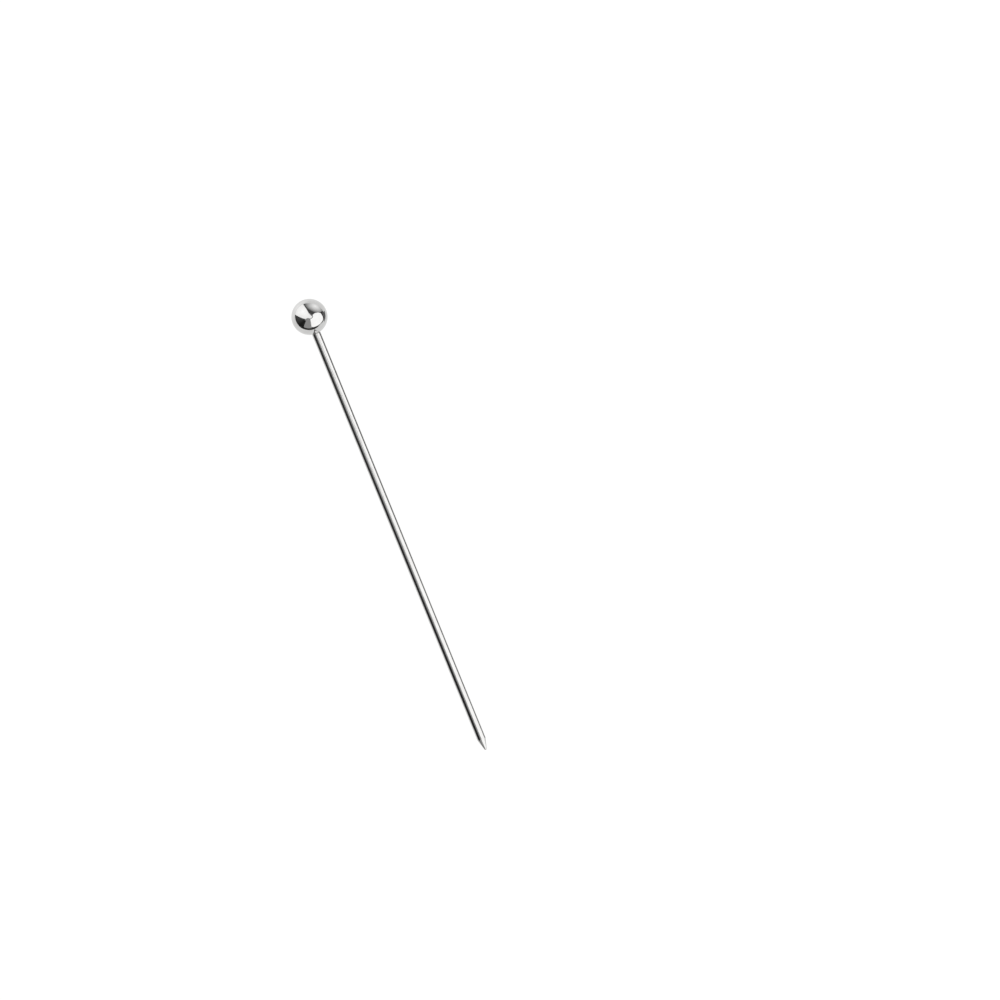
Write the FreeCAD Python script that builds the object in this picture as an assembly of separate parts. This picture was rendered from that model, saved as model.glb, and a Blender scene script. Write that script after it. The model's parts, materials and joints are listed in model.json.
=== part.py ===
"""Cocktail pick: a polished steel ball pressed onto one end of a straight wire, whose other end is ground to a point.

Units are millimetres. Each piece is one turned section, drawn in its own axis frame: the axis runs along +X from
the centre of the ball towards the point, and the section's second coordinate is the radius. The finished pick is
then laid down as it comes to rest: the ball and the shoulder of the point touch the table, at z = 0, and the middle
of the pick is over the origin, with the ball towards -X and the point towards +X.
"""
import FreeCAD
import Part

import math
import os

# The whole pick
OVERALL_LENGTH = 108.0  # crown of the ball to the end of the point, along the axis
BALL_DIAMETER = 8.0
WIRE_DIAMETER = 2.0

# The ground point
POINT_ANGLE = 32.0  # degrees, both sides together
POINT_END_RADIUS = 0.3  # the end is blunted, so that it pierces fruit and not fingers
POINT_SHOULDER_RADIUS = 1.0  # blend from the straight wire into the cone

# The seat of the wire in the ball: a spigot turned down on the wire, and the step that it leaves
SPIGOT_LENGTH = 4.5
SPIGOT_STEP = 0.25  # from the wire's radius down to the spigot's
SPIGOT_LEAD = 0.2  # chamfer on the end that is pressed home
STEP_CHAMFER = 0.15  # broken edge of the step, seen as a fine dark ring round the joint
SPOT_FACE_MARGIN = 0.1  # by which the flat on the ball is wider than the wire all round
HOLE_END_GAP = 0.2  # left between the end of the spigot and the full-width bottom of the hole
DRILL_ANGLE = 118.0  # degrees, both sides together, at the bottom of the hole

# Worked out from the sizes above, along the axis from the centre of the ball
ball_radius = BALL_DIAMETER / 2
wire_radius = WIRE_DIAMETER / 2
spigot_radius = wire_radius - SPIGOT_STEP
hole_radius = spigot_radius  # a press fit: the wall of the hole lies on the spigot
spot_face_radius = wire_radius + SPOT_FACE_MARGIN
spot_face_along = math.sqrt(ball_radius**2 - spot_face_radius**2)
spigot_end = spot_face_along - SPIGOT_LENGTH
hole_bottom = spigot_end - HOLE_END_GAP
wire_end = OVERALL_LENGTH - ball_radius
cone_angle = math.radians(POINT_ANGLE / 2)  # between the cone's side and the axis

AXIS_START = FreeCAD.Vector(0, 0, 0)
AXIS = FreeCAD.Vector(1, 0, 0)
PARTS_FOLDER = "parts"


def section_point(along, radius):
    """A point of a turned section, in the plane of the axis."""
    return FreeCAD.Vector(along, radius, 0)


def straight(first, last):
    """A straight edge of a section."""
    return Part.LineSegment(first, last).toShape()


def arc(centre, radius, first, last):
    """An arc of a section between two directions, each an angle in degrees from +X."""
    points = []
    for angle in (first, (first + last) / 2, last):
        turn = math.radians(angle)
        points.append(centre + radius * section_point(math.cos(turn), math.sin(turn)))
    return Part.Arc(*points).toShape()


def turned(edges):
    """The solid that a closed section sweeps in one full turn round the axis."""
    face = Part.Face(Part.Wire(edges))
    return face.revolve(AXIS_START, AXIS, 360)


def ball_head():
    """The ball: sphere, the flat that the wire's step sits on, the hole and the cone that the drill leaves."""
    spot_face_angle = math.degrees(math.asin(spot_face_radius / ball_radius))
    drill_tip_along = hole_bottom - hole_radius / math.tan(math.radians(DRILL_ANGLE / 2))

    crown = section_point(-ball_radius, 0)
    spot_face_rim = section_point(spot_face_along, spot_face_radius)
    hole_mouth = section_point(spot_face_along, hole_radius)
    hole_foot = section_point(hole_bottom, hole_radius)
    drill_tip = section_point(drill_tip_along, 0)
    return turned(
        [
            arc(section_point(0, 0), ball_radius, 180, spot_face_angle),
            straight(spot_face_rim, hole_mouth),
            straight(hole_mouth, hole_foot),
            straight(hole_foot, drill_tip),
            straight(drill_tip, crown),
        ]
    )


def point_shoulder_centre():
    """The centre of the arc that is tangent to the wire and to the cone of the point, as (along, radius)."""
    end_centre = wire_end - POINT_END_RADIUS
    cone_foot_along = end_centre + POINT_END_RADIUS * math.sin(cone_angle)
    cone_foot_radius = POINT_END_RADIUS * math.cos(cone_angle)
    sharp_corner = cone_foot_along - (wire_radius - cone_foot_radius) / math.tan(cone_angle)
    along = sharp_corner - POINT_SHOULDER_RADIUS * math.tan(cone_angle / 2)
    return along, wire_radius - POINT_SHOULDER_RADIUS


def shank():
    """The wire: spigot with its lead, step with its broken edge, long straight, ground cone and blunted end."""
    square_to_cone = 90 - math.degrees(cone_angle)
    shoulder = arc(section_point(*point_shoulder_centre()), POINT_SHOULDER_RADIUS, 90, square_to_cone)
    blunt_end = arc(section_point(wire_end - POINT_END_RADIUS, 0), POINT_END_RADIUS, square_to_cone, 0)

    end_face_middle = section_point(spigot_end, 0)
    end_face_rim = section_point(spigot_end, spigot_radius - SPIGOT_LEAD)
    spigot_start = section_point(spigot_end + SPIGOT_LEAD, spigot_radius)
    step_foot = section_point(spot_face_along, spigot_radius)
    step_rim = section_point(spot_face_along, wire_radius - STEP_CHAMFER)
    straight_start = section_point(spot_face_along + STEP_CHAMFER, wire_radius)
    return turned(
        [
            straight(end_face_middle, end_face_rim),
            straight(end_face_rim, spigot_start),
            straight(spigot_start, step_foot),
            straight(step_foot, step_rim),
            straight(step_rim, straight_start),
            straight(straight_start, shoulder.firstVertex().Point),
            shoulder,
            straight(shoulder.lastVertex().Point, blunt_end.firstVertex().Point),
            blunt_end,
            straight(blunt_end.lastVertex().Point, end_face_middle),
        ]
    )


def resting_tilt():
    """How far the axis slopes down from the ball to the point, in radians, when ball and shoulder touch the table.

    With the centre of the ball at the height of its radius, the underside of the shoulder's arc is at
    ball_radius - along * sin(tilt) - offset * cos(tilt) - POINT_SHOULDER_RADIUS, and this tilt makes that zero.
    """
    along, offset = point_shoulder_centre()
    reach = math.hypot(along, offset)
    return math.asin((ball_radius - POINT_SHOULDER_RADIUS) / reach) - math.atan2(offset, along)


def laid_down(shape):
    """A piece moved from the axis frame to where it lies on the table."""
    tilt = resting_tilt()
    point_reach = (wire_end - POINT_END_RADIUS) * math.cos(tilt) + POINT_END_RADIUS
    ball_x = (ball_radius - point_reach) / 2
    slope = FreeCAD.Rotation(FreeCAD.Vector(0, 1, 0), math.degrees(tilt))
    lying = shape.copy()
    lying.Placement = FreeCAD.Placement(FreeCAD.Vector(ball_x, 0, ball_radius), slope)
    return lying


def main():
    """Builds each piece, lays it down and writes it to its own file."""
    os.makedirs(PARTS_FOLDER, exist_ok=True)
    pieces = {"ball_head": ball_head(), "shank": shank()}
    for name, shape in pieces.items():
        lying = laid_down(shape)
        lying.exportStep(f"{PARTS_FOLDER}/{name}.step")
        print(name, "valid", lying.isValid(), "volume", round(lying.Volume, 3), lying.BoundBox)
    print("resting tilt", round(math.degrees(resting_tilt()), 3), "degrees")


main()
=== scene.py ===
"""A ball-headed steel cocktail pick, finished and photographed from above on a backlit table.

The pick lies along +X with its ball at the -X end and slopes down to its point. Two turned surfaces, the
lapped ball and the drawn and ground wire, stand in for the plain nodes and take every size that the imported
model gives. The studio is a pale table in a dark room, with two leaning softboxes, cards round them and a
sheet of light below, because a mirror finish is only what it reflects. All of it is still, and the camera
doesn't see the panels themselves.
"""

import json
import logging
import math
from dataclasses import dataclass, field
from enum import Enum

import bpy
import numpy as np
from mathutils import Euler, Matrix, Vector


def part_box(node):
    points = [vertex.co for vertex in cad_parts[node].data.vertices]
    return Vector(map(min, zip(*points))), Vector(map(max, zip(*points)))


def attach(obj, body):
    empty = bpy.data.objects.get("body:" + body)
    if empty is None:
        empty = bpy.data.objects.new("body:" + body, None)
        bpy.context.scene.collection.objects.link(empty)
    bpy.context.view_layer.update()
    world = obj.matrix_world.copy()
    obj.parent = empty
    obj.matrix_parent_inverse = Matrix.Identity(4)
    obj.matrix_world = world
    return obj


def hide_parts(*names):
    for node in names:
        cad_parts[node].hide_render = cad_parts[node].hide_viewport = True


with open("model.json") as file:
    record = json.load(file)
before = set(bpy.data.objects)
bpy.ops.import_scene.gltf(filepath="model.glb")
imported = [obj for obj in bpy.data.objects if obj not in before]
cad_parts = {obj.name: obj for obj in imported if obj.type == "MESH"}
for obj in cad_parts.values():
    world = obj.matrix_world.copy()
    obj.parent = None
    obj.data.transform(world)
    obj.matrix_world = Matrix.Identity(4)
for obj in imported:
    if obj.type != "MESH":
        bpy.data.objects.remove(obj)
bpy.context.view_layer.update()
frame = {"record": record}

log = logging.getLogger("cocktail_pick")

MM = 0.001
MICRON = 0.000001
BODY = "root"


def linear(colour: str) -> tuple[float, float, float, float]:
    """Turns an sRGB hex colour into the linear RGBA that a shader socket takes.

    Args:
        colour: six hex digits after a hash.

    Returns:
        Linear red, green and blue, and an alpha of one.
    """
    shares = (int(colour[place:place + 2], 16) / 255 for place in (1, 3, 5))
    red, green, blue = (s / 12.92 if s <= 0.04045 else ((s + 0.055) / 1.055) ** 2.4 for s in shares)
    return red, green, blue, 1.0


def add_node(tree: bpy.types.NodeTree, kind: str, settings: dict | None = None,
             links: dict | None = None) -> bpy.types.Node:
    """Adds one shader node, sets it and links it.

    Args:
        tree: the node tree that takes the node.
        kind: the node's type.
        settings: values by the name or number of an input, or by the name of a property.
        links: output sockets by the name or number of the input that they feed.

    Returns:
        The new node.
    """
    node = tree.nodes.new(kind)
    for key, value in (settings or {}).items():
        if isinstance(key, int) or key in node.inputs:
            node.inputs[key].default_value = value
        else:
            setattr(node, key, value)
    for key, socket in (links or {}).items():
        tree.links.new(socket, node.inputs[key])
    return node


def new_material(name: str) -> bpy.types.Material:
    """Makes an empty node material of that name."""
    material = bpy.data.materials.new(name)
    material.use_nodes = True
    material.node_tree.nodes.clear()
    return material


@dataclass(frozen=True)
class PickLine:
    """Where the pick lies: the middle of its ball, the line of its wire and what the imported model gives.

    Attributes:
        ball_centre: middle of the ball, in metres.
        along: unit vector from the ball to the point.
        ball_radius: radius of the ball, in metres.
        wire_radius: radius of the wire, in metres.
        wall_start: distance from the ball's middle to the start of the wire's straight wall, in metres.
        far_reach: highest x of the wire, at its point, in metres.
    """

    ball_centre: np.ndarray
    along: np.ndarray
    ball_radius: float
    wire_radius: float
    wall_start: float
    far_reach: float

    @classmethod
    def from_frame(cls) -> "PickLine":
        """Reads the line from the boxes of the two nodes and from the record's pin mount.

        Returns:
            The line of the pick as it lies on the table.
        """
        low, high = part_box("ball_head")
        radius = (high.z - low.z) / 2
        centre = np.array([low.x + radius, 0.0, low.z + radius])
        mount = next(m for m in frame["record"]["mounts"] if m["name"] == "shank")
        along = np.array(mount["axis"])
        middle = float((np.array(mount["pos_m"]) - centre) @ along)
        start = middle - mount["dims"]["length_mm"] * MM / 2
        far_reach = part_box("shank")[1].x
        return cls(centre, along, radius, mount["dims"]["r_mm"] * MM, start, far_reach)

    @property
    def tilt(self) -> float:
        """Angle by which the wire slopes down to its point, in radians."""
        return math.asin(-self.along[2])

    @property
    def side(self) -> np.ndarray:
        """Unit vector square to the wire and level."""
        return np.array([0.0, 1.0, 0.0])

    @property
    def up(self) -> np.ndarray:
        """Unit vector square to the wire and to its side."""
        return np.cross(self.along, self.side)


def straight(start: tuple[float, float], end: tuple[float, float], steps: int = 1) -> np.ndarray:
    """Gives points of a straight stretch: start plus a share t of the way to the end, t from 0 to 1.

    Args:
        start: place along the axis and radius.
        end: place along the axis and radius.
        steps: how many parts the stretch has.

    Returns:
        Array of (steps + 1, 2).
    """
    share = np.linspace(0, 1, steps + 1)[:, None]
    return np.array(start) * (1 - share) + np.array(end) * share


def arc(middle: float, radius: float, first: float, last: float, steps: int) -> np.ndarray:
    """Gives points of an arc on the axis: (middle + radius cos t, radius sin t), t from first to last.

    Args:
        middle: place of the centre along the axis.
        radius: radius of the arc.
        first: angle from the way to the point at the start, in radians.
        last: angle at the end, in radians.
        steps: how many parts the arc has.

    Returns:
        Array of (steps + 1, 2).
    """
    angle = np.linspace(first, last, steps + 1)
    return np.stack([middle + radius * np.cos(angle), radius * np.sin(angle)], axis=1)


@dataclass
class TurnedPiece:
    """A closed surface turned about the pick's line.

    Attributes:
        name: name of the piece.
        node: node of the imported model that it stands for.
        line: where the pick lies.
        segments: points round each ring.
        crease: smallest turn of the outline that stays a sharp edge, in radians.
    """

    name: str
    node: str
    line: PickLine
    segments: int
    crease: float = math.radians(14)

    def outline(self) -> list[np.ndarray]:
        """Gives the stretches of the outline, from axis to axis, in metres from the ball's middle."""
        raise NotImplementedError

    def finish(self) -> bpy.types.Material:
        """Gives the material of the whole piece."""
        raise NotImplementedError

    def build(self) -> bpy.types.Object:
        """Turns the outline into a mesh and dresses it.

        A point of ring i at angle t is centre + a_i along + r_i (cos t side + sin t up), worked out for all
        rings and angles at once. The outline's two ends lie on the axis and become one point each, so the
        surface closes.

        Returns:
            The finished piece, riding on its body in place of its node.
        """
        stretches = self.outline()
        points = np.concatenate([stretches[0]] + [stretch[1:] for stretch in stretches[1:]])
        angle = np.linspace(0, 2 * np.pi, self.segments, endpoint=False)
        spoke = np.cos(angle)[:, None] * self.line.side + np.sin(angle)[:, None] * self.line.up
        rings = points[1:-1, 0, None, None] * self.line.along + points[1:-1, 1, None, None] * spoke
        ends = points[[0, -1], 0, None] * self.line.along
        vertices = self.line.ball_centre + np.concatenate([rings.reshape(-1, 3), ends])

        ring_count = len(points) - 2
        index = np.arange(ring_count * self.segments).reshape(ring_count, self.segments)
        beside = np.roll(index, -1, axis=1)
        quads = np.stack([index[:-1], index[1:], beside[1:], beside[:-1]], axis=-1).reshape(-1, 4)
        first_end, last_end = ring_count * self.segments, ring_count * self.segments + 1
        near_cap = np.stack([np.full(self.segments, first_end), index[0], beside[0]], axis=-1)
        far_cap = np.stack([index[-1], np.full(self.segments, last_end), beside[-1]], axis=-1)
        mesh = bpy.data.meshes.new(self.name)
        mesh.from_pydata(vertices.tolist(), [], quads.tolist() + near_cap.tolist() + far_cap.tolist())
        mesh.update()
        self.shade(mesh, points)
        mesh.materials.append(self.finish())

        piece = bpy.data.objects.new(self.name, mesh)
        bpy.context.scene.collection.objects.link(piece)
        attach(piece, BODY)
        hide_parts(self.node)
        log.info("%s: %d rings of %d points, for %s", self.name, ring_count, self.segments, self.node)
        return piece

    def shade(self, mesh: bpy.types.Mesh, points: np.ndarray) -> None:
        """Shades the mesh smooth and keeps each ring sharp where the outline turns by more than the crease.

        The two end points lie on no ring, so each gets a number that no ring has.

        Args:
            mesh: the turned mesh, with its rings in order.
            points: the outline that made it.
        """
        mesh.polygons.foreach_set("use_smooth", np.ones(len(mesh.polygons), bool))
        way = np.diff(points, axis=0)
        heading = np.arctan2(way[:, 1], way[:, 0])
        turn = np.abs((np.diff(heading) + np.pi) % (2 * np.pi) - np.pi)
        ring_is_sharp = np.append(np.repeat(turn > self.crease, self.segments), [False, False])
        ring_number = np.append(np.repeat(np.arange(len(turn)), self.segments), [-1, -2])
        ends = np.zeros(len(mesh.edges) * 2, np.int32)
        mesh.edges.foreach_get("vertices", ends)
        ends = ends.reshape(-1, 2)
        same_ring = ring_number[ends[:, 0]] == ring_number[ends[:, 1]]
        sharp = same_ring & ring_is_sharp[ends[:, 0]]
        mesh.attributes.new("sharp_edge", "BOOLEAN", "EDGE").data.foreach_set("value", sharp)


class Grain(Enum):
    """Marks of a finish: cell sizes along, beside and above the wire, in millimetres, and finer layers."""

    LENGTHWISE = (45.0, 0.16, 0.16, 2.0)
    RINGS = (0.11, 9.0, 9.0, 2.0)
    SLOW_WAVES = (4.0, 9.0, 9.0, 0.0)
    CLOUDS = (1.6, 1.6, 1.6, 3.0)
    PEEL = (0.7, 0.7, 0.7, 1.0)


@dataclass(frozen=True)
class SteelFinish:
    """Stainless steel in the pick's own axes: what its ball and its wire share.

    Stainless reflects about two thirds of the light, a little less of the blue, so white comes back as a
    light, faintly warm grey. A thin film of handling marks makes its gloss uneven from place to place.

    Attributes:
        line: where the pick lies, which the marks follow.
        bright: colour of the clean steel.
        dulled: colour where the film is thickest.
        gloss: roughness of the clean steel.
        film: roughness that the film adds.
        clean_below: value of the cloudy noise below which there is no film.
        thick_above: value of the cloudy noise above which the film is thickest.
    """

    line: PickLine
    bright: str = "#d5d5d4"
    dulled: str = "#cecdcc"
    gloss: float = 0.05
    film: float = 0.03
    clean_below: float = 0.35
    thick_above: float = 0.7

    def own_axes(self, tree: bpy.types.NodeTree) -> bpy.types.NodeSocket:
        """Gives millimetres from the ball's middle: along the wire, beside it and above it.

        Args:
            tree: the material's nodes.

        Returns:
            The pick's own coordinates.
        """
        place = add_node(tree, "ShaderNodeTexCoord").outputs["Object"]
        turned = add_node(tree, "ShaderNodeMapping", {
            "vector_type": "TEXTURE",
            "Location": tuple(self.line.ball_centre),
            "Rotation": Euler((0.0, self.line.tilt, 0.0)),
            "Scale": (MM, MM, MM),
        }, {"Vector": place})
        return turned.outputs["Vector"]

    def marks(self, tree: bpy.types.NodeTree, axes: bpy.types.NodeSocket,
              grain: Grain) -> bpy.types.NodeSocket:
        """Gives a noise from 0 to 1 whose cells have the grain's sizes.

        Args:
            tree: the material's nodes.
            axes: the pick's own coordinates, in millimetres.
            grain: which marks they are.

        Returns:
            The noise's value.
        """
        *cell, layers = grain.value
        scaled = add_node(tree, "ShaderNodeMapping", {
            "vector_type": "TEXTURE", "Scale": cell,
        }, {"Vector": axes})
        noise = add_node(tree, "ShaderNodeTexNoise", {
            "Scale": 1.0, "Detail": layers, "Roughness": 0.5,
        }, {"Vector": scaled.outputs["Vector"]})
        return noise.outputs["Fac"]

    def film_share(self, tree: bpy.types.NodeTree, axes: bpy.types.NodeSocket) -> bpy.types.NodeSocket:
        """Gives how thick the film of handling marks is, from 0 to 1.

        Args:
            tree: the material's nodes.
            axes: the pick's own coordinates, in millimetres.

        Returns:
            The film's share.
        """
        spread = add_node(tree, "ShaderNodeMapRange", {
            "From Min": self.clean_below, "From Max": self.thick_above, "To Min": 0.0, "To Max": 1.0,
        }, {"Value": self.marks(tree, axes, Grain.CLOUDS)})
        return spread.outputs["Result"]

    def colour(self, tree: bpy.types.NodeTree, share: bpy.types.NodeSocket) -> bpy.types.NodeSocket:
        """Gives the steel's colour, from bright to dulled with the film's share.

        Args:
            tree: the material's nodes.
            share: the film's share, from 0 to 1.

        Returns:
            The colour.
        """
        ramp = add_node(tree, "ShaderNodeValToRGB", None, {"Fac": share})
        ramp.color_ramp.elements[0].color = linear(self.bright)
        ramp.color_ramp.elements[1].color = linear(self.dulled)
        return ramp.outputs["Color"]

    def relief(self, tree: bpy.types.NodeTree, axes: bpy.types.NodeSocket) -> bpy.types.NodeSocket:
        """Gives the height of the marks in microns, which each finish has in its own way."""
        raise NotImplementedError

    def roughness(self, tree: bpy.types.NodeTree, axes: bpy.types.NodeSocket,
                  share: bpy.types.NodeSocket) -> bpy.types.NodeSocket:
        """Gives the roughness: the clean steel's and what the film adds.

        Args:
            tree: the material's nodes.
            axes: the pick's own coordinates, in millimetres; not used.
            share: the film's share, from 0 to 1.

        Returns:
            The roughness.
        """
        rough = add_node(tree, "ShaderNodeMath", {
            "operation": "MULTIPLY_ADD", 1: self.film, 2: self.gloss,
        }, {0: share})
        return rough.outputs["Value"]

    def material(self, name: str) -> bpy.types.Material:
        """Makes the material.

        Args:
            name: name of the material.

        Returns:
            A metal whose colour, roughness and normal follow the pick's own axes.
        """
        material = new_material(name)
        tree = material.node_tree
        axes = self.own_axes(tree)
        share = self.film_share(tree, axes)
        bump = add_node(tree, "ShaderNodeBump", {"Strength": 1.0, "Distance": MICRON},
                        {"Height": self.relief(tree, axes)})
        steel = add_node(tree, "ShaderNodeBsdfPrincipled", {"Metallic": 1.0}, {
            "Base Color": self.colour(tree, share),
            "Roughness": self.roughness(tree, axes, share),
            "Normal": bump.outputs["Normal"],
        })
        add_node(tree, "ShaderNodeOutputMaterial", None, {"Surface": steel.outputs["BSDF"]})
        return material


@dataclass(frozen=True)
class LappedBallSteel(SteelFinish):
    """Stainless bearing ball, lapped and tumbled to a mirror.

    The eye sees sharp reflections with edges that waver slightly, because the lapped skin has a faint peel.
    A real peel is a few hundredths of a millimetre wide, and it is drawn at 0.7 mm, as coarse as it needs to
    show.

    Attributes:
        peel_height: height of the peel, in microns.
    """

    peel_height: float = 2.2

    def relief(self, tree: bpy.types.NodeTree, axes: bpy.types.NodeSocket) -> bpy.types.NodeSocket:
        """Gives the peel's height.

        Args:
            tree: the material's nodes.
            axes: the pick's own coordinates, in millimetres.

        Returns:
            The height, in microns.
        """
        height = add_node(tree, "ShaderNodeMath", {"operation": "MULTIPLY", 1: self.peel_height}, {
            0: self.marks(tree, axes, Grain.PEEL),
        })
        return height.outputs["Value"]


@dataclass(frozen=True)
class DrawnWireSteel(SteelFinish):
    """Stainless wire, cold drawn and buffed lengthwise, its point ground on a wheel while the wire turned.

    The eye sees long, thin reflections with slightly broken edges on the wire, from the die's fine lines and
    from slow waves left by straightening, and a softer shine with fine rings on the point. Real die lines
    are about 0.02 mm apart and grinding rings 0.03 mm: they are drawn at 0.16 mm and 0.11 mm, as coarse as
    they need to show.

    Attributes:
        point_start: place along the wire where the grinding starts, in millimetres from the ball's middle.
        fade: length over which the grinding marks come in, in millimetres.
        line_height: height of the die's lines, in microns.
        wave_height: height of the slow waves, in microns.
        ring_height: height of the grinding rings, in microns.
        ground_gloss: roughness that the grinding adds.
    """

    point_start: float = 102.0
    fade: float = 0.6
    gloss: float = 0.08
    line_height: float = 3.5
    wave_height: float = 9.0
    ring_height: float = 1.2
    ground_gloss: float = 0.09

    def ground_share(self, tree: bpy.types.NodeTree, axes: bpy.types.NodeSocket) -> bpy.types.NodeSocket:
        """Gives 0 on the drawn wire and 1 on the ground point, with a smooth change between them.

        Args:
            tree: the material's nodes.
            axes: the pick's own coordinates, in millimetres.

        Returns:
            The share of grinding.
        """
        parts = add_node(tree, "ShaderNodeSeparateXYZ", None, {"Vector": axes})
        share = add_node(tree, "ShaderNodeMapRange", {
            "interpolation_type": "SMOOTHSTEP",
            "From Min": self.point_start - self.fade / 2, "From Max": self.point_start + self.fade / 2,
            "To Min": 0.0, "To Max": 1.0,
        }, {"Value": parts.outputs["X"]})
        return share.outputs["Result"]

    def relief(self, tree: bpy.types.NodeTree, axes: bpy.types.NodeSocket) -> bpy.types.NodeSocket:
        """Gives the height of the marks: lines on the wire, rings on the point and slow waves on both.

        Args:
            tree: the material's nodes.
            axes: the pick's own coordinates, in millimetres.

        Returns:
            The height, in microns.
        """
        ground = self.ground_share(tree, axes)
        drawn = add_node(tree, "ShaderNodeMath", {
            "operation": "MULTIPLY_ADD", 1: -self.line_height, 2: self.line_height,
        }, {0: ground})
        lines = add_node(tree, "ShaderNodeMath", {"operation": "MULTIPLY"}, {
            0: self.marks(tree, axes, Grain.LENGTHWISE), 1: drawn.outputs["Value"],
        })
        ringed = add_node(tree, "ShaderNodeMath", {
            "operation": "MULTIPLY", 1: self.ring_height,
        }, {0: ground})
        rings = add_node(tree, "ShaderNodeMath", {"operation": "MULTIPLY_ADD"}, {
            0: self.marks(tree, axes, Grain.RINGS), 1: ringed.outputs["Value"], 2: lines.outputs["Value"],
        })
        total = add_node(tree, "ShaderNodeMath", {"operation": "MULTIPLY_ADD", 1: self.wave_height}, {
            0: self.marks(tree, axes, Grain.SLOW_WAVES), 2: rings.outputs["Value"],
        })
        return total.outputs["Value"]

    def roughness(self, tree: bpy.types.NodeTree, axes: bpy.types.NodeSocket,
                  share: bpy.types.NodeSocket) -> bpy.types.NodeSocket:
        """Gives the roughness: that of the buffed wire, and more on the ground point.

        Args:
            tree: the material's nodes.
            axes: the pick's own coordinates, in millimetres.
            share: the film's share, from 0 to 1.

        Returns:
            The roughness.
        """
        buffed = super().roughness(tree, axes, share)
        rough = add_node(tree, "ShaderNodeMath", {"operation": "MULTIPLY_ADD", 1: self.ground_gloss}, {
            0: self.ground_share(tree, axes), 2: buffed,
        })
        return rough.outputs["Value"]


@dataclass
class BallHead(TurnedPiece):
    """The ball, with the spot-faced, drilled seat that holds the wire.

    Attributes:
        hole_radius: radius of the drilled hole, in millimetres.
        step_chamfer: bevel on the wire's step, which sets the spot face back from the straight wall.
        hole_depth: depth of the hole's straight wall below the spot face, in millimetres.
        drill_angle: full angle of the drill's point, in degrees.
        sphere_steps: parts of the sphere's outline.
        face_steps: parts of the spot face.
        hole_steps: parts of the hole's wall.
        cone_steps: parts of the cone that the drill leaves.
    """

    name: str = "polished_ball"
    node: str = "ball_head"
    line: PickLine = field(kw_only=True)
    segments: int = 160
    hole_radius: float = 0.75
    step_chamfer: float = 0.15
    hole_depth: float = 4.7
    drill_angle: float = 118.0
    sphere_steps: int = 120
    face_steps: int = 2
    hole_steps: int = 6
    cone_steps: int = 3

    def outline(self) -> list[np.ndarray]:
        """Gives the ball's outline.

        Returns:
            Sphere, spot face, wall of the hole and the cone that the drill leaves.
        """
        seat = self.line.wall_start - self.step_chamfer * MM
        ball = self.line.ball_radius
        hole = self.hole_radius * MM
        bottom = seat - self.hole_depth * MM
        cone = hole / math.tan(math.radians(self.drill_angle / 2))
        rim = math.acos(seat / ball)
        return [
            arc(0.0, ball, math.pi, rim, self.sphere_steps),
            straight((seat, ball * math.sin(rim)), (seat, hole), self.face_steps),
            straight((seat, hole), (bottom, hole), self.hole_steps),
            straight((bottom, hole), (bottom - cone, 0.0), self.cone_steps),
        ]

    def finish(self) -> bpy.types.Material:
        """Gives the lapped steel."""
        return LappedBallSteel(self.line).material("lapped_stainless_ball")


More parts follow.
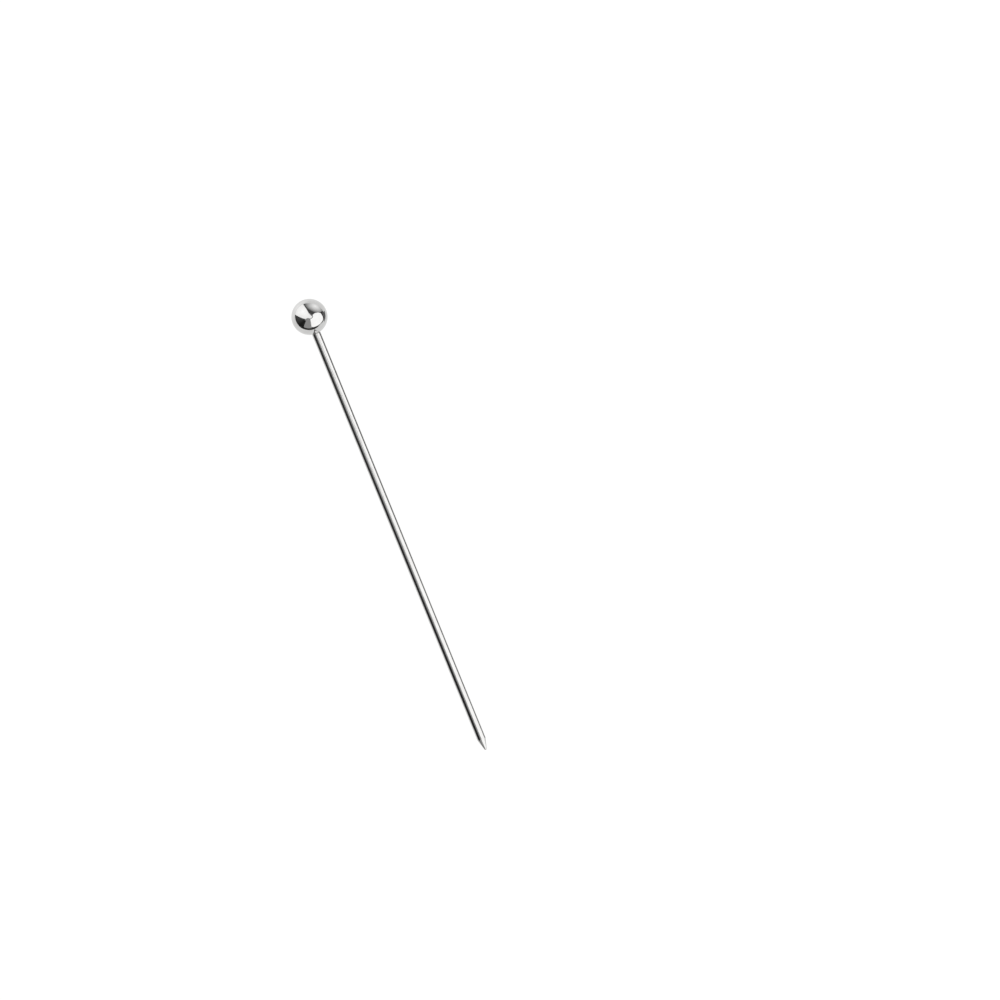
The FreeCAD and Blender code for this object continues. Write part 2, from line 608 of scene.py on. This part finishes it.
@dataclass
class PointedWire(TurnedPiece):
    """The wire: a spigot turned down at one end and a ground point, slightly blunted, at the other.

    Attributes:
        spigot_radius: radius of the spigot, in millimetres.
        spigot_length: length of the spigot from the wire's step, in millimetres.
        spigot_lead: bevel that starts the spigot in its hole, in millimetres.
        step_chamfer: bevel on the step, in millimetres.
        point_angle: full angle of the ground point, in degrees.
        end_radius: radius of the blunted tip, in millimetres.
        shoulder_radius: radius of the round where the point meets the wire, in millimetres.
        face_steps: parts of the spigot's end face.
        spigot_steps: parts of the spigot's wall.
        wall_steps: parts of the long straight wall.
        shoulder_steps: parts of the shoulder's arc.
        cone_steps: parts of the point's cone.
        tip_steps: parts of the tip's arc.
    """

    name: str = "pointed_wire"
    node: str = "shank"
    line: PickLine = field(kw_only=True)
    segments: int = 96
    spigot_radius: float = 0.75
    spigot_length: float = 4.5
    spigot_lead: float = 0.2
    step_chamfer: float = 0.15
    point_angle: float = 32.0
    end_radius: float = 0.3
    shoulder_radius: float = 1.0
    face_steps: int = 2
    spigot_steps: int = 6
    wall_steps: int = 240
    shoulder_steps: int = 10
    cone_steps: int = 20
    tip_steps: int = 14

    @property
    def tip_middle(self) -> float:
        """Place of the tip's arc along the wire, from the wire's highest x, which the round tip reaches."""
        reach = self.line.far_reach - self.line.ball_centre[0] - self.end_radius * MM
        return reach / self.line.along[0]

    @property
    def shoulder_middle(self) -> float:
        """Place of the shoulder's arc along the wire: one cone touches this arc and the tip's."""
        half = math.radians(self.point_angle / 2)
        return self.tip_middle - (self.shoulder_radius - self.end_radius) * MM / math.sin(half)

    def outline(self) -> list[np.ndarray]:
        """Gives the wire's outline.

        Returns:
            End face, lead and wall of the spigot, step, bevel, straight wall, shoulder, cone and tip.
        """
        wall = self.line.wire_radius
        seat = self.line.wall_start - self.step_chamfer * MM
        spigot = self.spigot_radius * MM
        lead = self.spigot_lead * MM
        end = seat - self.spigot_length * MM
        shoulder, tip = self.shoulder_radius * MM, self.end_radius * MM
        square_to_cone = math.pi / 2 - math.radians(self.point_angle / 2)
        shoulder_arc = arc(self.shoulder_middle, shoulder, math.pi / 2, square_to_cone, self.shoulder_steps)
        tip_arc = arc(self.tip_middle, tip, square_to_cone, 0.0, self.tip_steps)
        return [
            straight((end, 0.0), (end, spigot - lead), self.face_steps),
            straight((end, spigot - lead), (end + lead, spigot)),
            straight((end + lead, spigot), (seat, spigot), self.spigot_steps),
            straight((seat, spigot), (seat, wall - self.step_chamfer * MM)),
            straight((seat, wall - self.step_chamfer * MM), (self.line.wall_start, wall)),
            straight((self.line.wall_start, wall), (self.shoulder_middle, wall), self.wall_steps),
            shoulder_arc,
            straight(tuple(shoulder_arc[-1]), tuple(tip_arc[0]), self.cone_steps),
            tip_arc,
        ]

    def finish(self) -> bpy.types.Material:
        """Gives the drawn and ground steel, with the grinding from the shoulder on."""
        start = self.shoulder_middle / MM
        return DrawnWireSteel(self.line, point_start=start).material("drawn_and_ground_wire")


@dataclass(frozen=True)
class Rig:
    """Axes of the studio, as the camera sees the ball.

    Attributes:
        origin: middle of the ball, in metres.
        right: unit vector to the picture's right.
        up: unit vector up in the picture.
        toward: unit vector from the ball to the camera.
    """

    origin: np.ndarray
    right: np.ndarray
    up: np.ndarray
    toward: np.ndarray


@dataclass(frozen=True)
class View:
    """The photograph's view: down on the pick, from a little way towards the side where the ball is.

    Attributes:
        ball_pixel: where the ball's middle is in the picture of 1000 by 1000.
        wire_turn: angle on the table from straight down in the picture rightwards to the wire, in degrees.
        lean: angle between the camera's line and the plumb line, in degrees.
        distance: distance from the camera to the ball along the camera's line, in millimetres.
        pixels_per_mm: scale of the picture at the ball's middle.
        picture_width: width and height of the picture, in pixels.
        sensor_width: width of the camera's sensor, in millimetres.
        near_limit: nearest that the camera sees, in millimetres.
    """

    ball_pixel: tuple[float, float] = (309.5, 316.9)
    wire_turn: float = 21.94
    lean: float = 4.2
    distance: float = 1000.0
    pixels_per_mm: float = 4.54
    picture_width: float = 1000.0
    sensor_width: float = 36.0
    near_limit: float = 10.0

    def build(self, line: PickLine) -> Rig:
        """Places the camera so that the ball and the wire lie in the picture as in the photograph.

        Args:
            line: where the pick lies.

        Returns:
            The axes that the studio follows.
        """
        data = bpy.data.cameras.new("camera")
        data.sensor_width = self.sensor_width
        data.lens = self.pixels_per_mm * self.distance * self.sensor_width / self.picture_width
        data.clip_start = self.near_limit * MM
        camera = bpy.data.objects.new("camera", data)
        camera.rotation_euler = (-math.radians(self.lean), 0.0, math.radians(90 - self.wire_turn))
        right, up, back = np.array(camera.rotation_euler.to_matrix()).T
        across = (self.picture_width / 2 - self.ball_pixel[0]) / self.pixels_per_mm
        down = (self.ball_pixel[1] - self.picture_width / 2) / self.pixels_per_mm
        gaze = (across * right + down * up + self.distance * back) * MM
        camera.location = line.ball_centre + gaze
        bpy.context.scene.collection.objects.link(camera)
        bpy.context.scene.camera = camera
        log.info("camera: %.1f mm lens, %.0f mm from the ball", data.lens, self.distance)

        toward = gaze / np.linalg.norm(gaze)
        level = right - (right @ toward) * toward
        level /= np.linalg.norm(level)
        return Rig(line.ball_centre, level, np.cross(toward, level), toward)


@dataclass(frozen=True)
class Panel:
    """A flat panel beside or below the table, which the steel mirrors and the camera doesn't see.

    Attributes:
        name: name of the panel.
        azimuth: where its foot stands, in degrees anticlockwise from the picture's right.
        distance: distance from the ball to the foot line, in millimetres.
        lean: angle by which it leans in over the table, in degrees.
        outline: its corners, in millimetres: beside the middle of the foot line, and up the panel.
        glow: its brightness, with the table at about one.
        drop: how far its foot line lies below the ball, in millimetres.
    """

    name: str
    azimuth: float
    distance: float
    lean: float
    outline: tuple[tuple[float, float], ...]
    glow: float
    drop: float = 0.0

    def axes(self, rig: Rig) -> tuple[np.ndarray, np.ndarray, np.ndarray]:
        """Gives the directions of the panel.

        Args:
            rig: axes of the studio.

        Returns:
            Unit vectors away from the ball, along the foot line and up the leaning panel.
        """
        turn, lean = math.radians(self.azimuth), math.radians(self.lean)
        away = math.cos(turn) * rig.right + math.sin(turn) * rig.up
        beside = math.cos(turn) * rig.up - math.sin(turn) * rig.right
        upward = math.cos(lean) * rig.toward - math.sin(lean) * away
        return away, beside, upward

    def places(self, rig: Rig, corners: tuple[tuple[float, float], ...]) -> np.ndarray:
        """Gives where points of the panel lie in the room.

        A point (s, u) lies at origin + distance away - drop toward + s beside + u upward.

        Args:
            rig: axes of the studio.
            corners: points in the outline's coordinates, in millimetres.

        Returns:
            Array of (count, 3), in metres.
        """
        away, beside, upward = self.axes(rig)
        foot = rig.origin + (self.distance * away - self.drop * rig.toward) * MM
        shares = np.array(corners) * MM
        return foot + shares[:, :1] * beside + shares[:, 1:] * upward

    def strength(self, tree: bpy.types.NodeTree, rig: Rig) -> bpy.types.NodeSocket | None:
        """Gives nothing: the panel is evenly lit."""
        return None

    def build(self, rig: Rig) -> bpy.types.Object:
        """Makes the panel.

        Args:
            rig: axes of the studio.

        Returns:
            The panel, which the camera doesn't see.
        """
        points = self.places(rig, self.outline)
        mesh = bpy.data.meshes.new(self.name)
        mesh.from_pydata(points.tolist(), [], [list(range(len(points)))])
        material = new_material(self.name)
        tree = material.node_tree
        strength = self.strength(tree, rig)
        links = {} if strength is None else {"Strength": strength}
        light = add_node(tree, "ShaderNodeEmission", {"Strength": self.glow}, links)
        add_node(tree, "ShaderNodeOutputMaterial", None, {"Surface": light.outputs["Emission"]})
        mesh.materials.append(material)
        panel = bpy.data.objects.new(self.name, mesh)
        panel.visible_camera = False
        bpy.context.scene.collection.objects.link(panel)
        return panel


@dataclass(frozen=True, kw_only=True)
class GradedPanel(Panel):
    """A panel that is brightest in one place and fades away from it, as a diffuser does round its lamp.

    Attributes:
        spot: middle of the light, in the outline's coordinates, in millimetres.
        reach: how far the light goes beside the spot and up from it, in millimetres.
        shade: brightness where the light doesn't reach.
    """

    spot: tuple[float, float]
    reach: tuple[float, float]
    shade: float

    def strength(self, tree: bpy.types.NodeTree, rig: Rig) -> bpy.types.NodeSocket:
        """Gives the brightness: shade + share (glow - shade).

        The share falls evenly from one at the spot to none on the ellipse whose half widths are the reach.

        Args:
            tree: the material's nodes.
            rig: axes of the studio.

        Returns:
            The brightness of the panel.
        """
        _, beside, upward = self.axes(rig)
        square = np.cross(beside, upward)
        place = add_node(tree, "ShaderNodeTexCoord").outputs["Object"]
        turned = add_node(tree, "ShaderNodeMapping", {
            "vector_type": "TEXTURE",
            "Location": tuple(self.places(rig, (self.spot,))[0]),
            "Rotation": Matrix((square, beside, upward)).transposed().to_euler(),
            "Scale": (1.0, self.reach[0] * MM, self.reach[1] * MM),
        }, {"Vector": place})
        fall = add_node(tree, "ShaderNodeTexGradient", {"gradient_type": "SPHERICAL"},
                        {"Vector": turned.outputs["Vector"]})
        light = add_node(tree, "ShaderNodeMath", {
            "operation": "MULTIPLY_ADD", 1: self.glow - self.shade, 2: self.shade,
        }, {0: fall.outputs["Fac"]})
        return light.outputs["Value"]


@dataclass(frozen=True)
class Studio:
    """The table, the softboxes, the cards and the dark room round them.

    Attributes:
        table_radius: radius of the table, in millimetres.
        table_glow: light that comes up through the table.
        table_colour: colour of the table's face.
        backdrop: brightness of the room as the camera sees it beyond the table.
        room: colour of the unlit room, as the steel sees it.
        table_corners: corners of the table's round edge.
    """

    table_radius: float = 460.0
    table_glow: float = 0.93
    table_colour: str = "#6c6c6c"
    backdrop: float = 0.98
    room: str = "#373635"
    table_corners: int = 96

    def panels(self) -> list[Panel]:
        """Gives the lights and cards, each placed as its reflection in the ball and the wire shows it.

        Only the white card, the side wall and the ceiling card are plain rectangles. The other outlines
        aren't those of real softboxes: most of their corners were read off the photographed ball, where a
        reflection ends, turned into places on the panel by a separate program, and rounded to 5 or 10 mm.

        Returns:
            Softboxes, cards and wall round the table, then the sheet and the flag below it.
        """
        strip = GradedPanel(
            name="strip_softbox", azimuth=136.0, distance=950.0, lean=27.5,
            outline=(
                (-415.0, -600.0), (-315.0, 380.0), (-270.0, 1250.0), (-400.0, 2000.0), (-750.0, 3150.0),
                (-700.0, 4150.0), (-200.0, 3900.0), (200.0, 3400.0), (330.0, 2250.0), (430.0, 1850.0),
                (700.0, 1520.0), (725.0, 1000.0), (705.0, 440.0), (805.0, -600.0),
            ),
            glow=1.47, spot=(100.0, 560.0), reach=(700.0, 1400.0), shade=1.24,
        )
        corner = Panel(
            name="corner_softbox", azimuth=-28.0, distance=650.0, lean=25.0,
            outline=(
                (-595.0, 375.0), (-500.0, 245.0), (-250.0, 135.0), (200.0, -110.0), (360.0, -60.0),
                (635.0, 195.0), (650.0, 520.0), (590.0, 840.0), (355.0, 1065.0), (210.0, 905.0),
                (110.0, 865.0), (-20.0, 920.0), (-125.0, 1020.0), (-145.0, 1125.0),
            ),
            glow=1.45,
        )
        grey_card = Panel(
            name="grey_card", azimuth=262.0, distance=1250.0, lean=0.0,
            outline=(
                (-430.0, 240.0), (480.0, 300.0), (480.0, 7000.0), (-610.0, 6780.0), (-1270.0, 4810.0),
                (-1990.0, 3640.0), (-1350.0, 2470.0), (-830.0, 2380.0), (-515.0, 340.0),
            ),
            glow=0.38,
        )
        white_card = GradedPanel(
            name="white_card", azimuth=67.0, distance=1500.0, lean=0.0,
            outline=((-1400.0, -500.0), (1900.0, -500.0), (1900.0, 3750.0), (-1400.0, 3750.0)),
            glow=1.30, spot=(-150.0, 170.0), reach=(1690.0, 1700.0), shade=0.08,
        )
        side_wall = GradedPanel(
            name="side_wall", azimuth=190.0, distance=3000.0, lean=0.0,
            outline=((-1500.0, -500.0), (4500.0, -500.0), (4500.0, 8000.0), (-1500.0, 8000.0)),
            glow=0.09, spot=(-300.0, 1500.0), reach=(1900.0, 4000.0), shade=0.018,
        )
        ceiling_card = Panel(
            name="ceiling_card", azimuth=90.0, distance=2300.0, lean=90.0,
            outline=((-1800.0, 0.0), (1800.0, 0.0), (1800.0, 2300.0), (-1800.0, 2300.0)),
            glow=0.2, drop=-5000.0,
        )
        light_sheet = GradedPanel(
            name="light_sheet", azimuth=-90.0, distance=0.0, lean=90.0,
            outline=(
                (-300.0, 200.0), (-410.0, -60.0), (-510.0, -300.0), (-440.0, -440.0), (-420.0, -730.0),
                (-370.0, -1380.0), (0.0, -1850.0), (650.0, -2400.0), (1500.0, -2700.0), (6000.0, -4500.0),
                (6000.0, -3000.0), (1200.0, -720.0), (350.0, -90.0), (300.0, 300.0), (200.0, 800.0),
                (-80.0, 800.0),
            ),
            glow=1.27, drop=100.0, spot=(-160.0, 130.0), reach=(185.0, 185.0), shade=0.915,
        )
        dark_flag = Panel(
            name="dark_flag", azimuth=-90.0, distance=0.0, lean=90.0,
            outline=((130.0, 55.0), (1420.0, 485.0), (1520.0, 240.0), (180.0, -70.0)),
            glow=0.15, drop=95.0,
        )
        return [strip, corner, grey_card, white_card, side_wall, ceiling_card, light_sheet, dark_flag]

    def build_table(self) -> bpy.types.Object:
        """Makes the table: a round sheet of opal acrylic, lit from below, with its top at the height zero.

        Its edge is (radius cos t, radius sin t), t once round. The steel doesn't see it: in the photograph
        the steel mirrors a sheet of light that lies deeper than the surface, with an edge of its own. The
        panel named light_sheet is that sheet.

        Returns:
            The table, which the steel doesn't see.
        """
        angle = np.linspace(0, 2 * np.pi, self.table_corners, endpoint=False)
        rim = self.table_radius * MM * np.stack([np.cos(angle), np.sin(angle), 0 * angle], axis=1)
        mesh = bpy.data.meshes.new("table")
        mesh.from_pydata(rim.tolist(), [], [list(range(len(rim)))])
        material = new_material("opal_acrylic")
        tree = material.node_tree
        face = add_node(tree, "ShaderNodeBsdfDiffuse", {"Color": linear(self.table_colour)})
        light = add_node(tree, "ShaderNodeEmission", {"Strength": self.table_glow})
        both = add_node(tree, "ShaderNodeAddShader", None, {
            0: face.outputs["BSDF"], 1: light.outputs["Emission"],
        })
        add_node(tree, "ShaderNodeOutputMaterial", None, {"Surface": both.outputs["Shader"]})
        mesh.materials.append(material)
        table = bpy.data.objects.new("table", mesh)
        table.visible_glossy = False
        bpy.context.scene.collection.objects.link(table)
        log.info("table: %.0f mm in radius", self.table_radius)
        return table

    def build_room(self) -> None:
        """Makes the room: pale where the camera looks straight at it, and dark to the steel."""
        world = bpy.data.worlds.new("room")
        world.use_nodes = True
        tree = world.node_tree
        tree.nodes.clear()
        dark = add_node(tree, "ShaderNodeBackground", {"Color": linear(self.room)})
        pale = add_node(tree, "ShaderNodeBackground", {"Strength": self.backdrop})
        seen = add_node(tree, "ShaderNodeLightPath").outputs["Is Camera Ray"]
        either = add_node(tree, "ShaderNodeMixShader", None, {
            0: seen, 1: dark.outputs["Background"], 2: pale.outputs["Background"],
        })
        add_node(tree, "ShaderNodeOutputWorld", None, {"Surface": either.outputs["Shader"]})
        bpy.context.scene.world = world

    def build(self, rig: Rig) -> None:
        """Builds the table, the room and every panel.

        Args:
            rig: axes of the studio.
        """
        self.build_table()
        self.build_room()
        for panel in self.panels():
            panel.build(rig)
            log.info("%s: %.0f mm from the ball", panel.name, panel.distance)
        bpy.context.scene.view_settings.view_transform = "Standard"


def main() -> None:
    """Builds the pick's two pieces, the view and the studio, in that order."""
    logging.basicConfig(level=logging.INFO, format="%(name)s: %(message)s")
    line = PickLine.from_frame()
    BallHead(line=line).build()
    PointedWire(line=line).build()
    rig = View().build(line)
    Studio().build(rig)


if __name__ == "__main__":
    main()
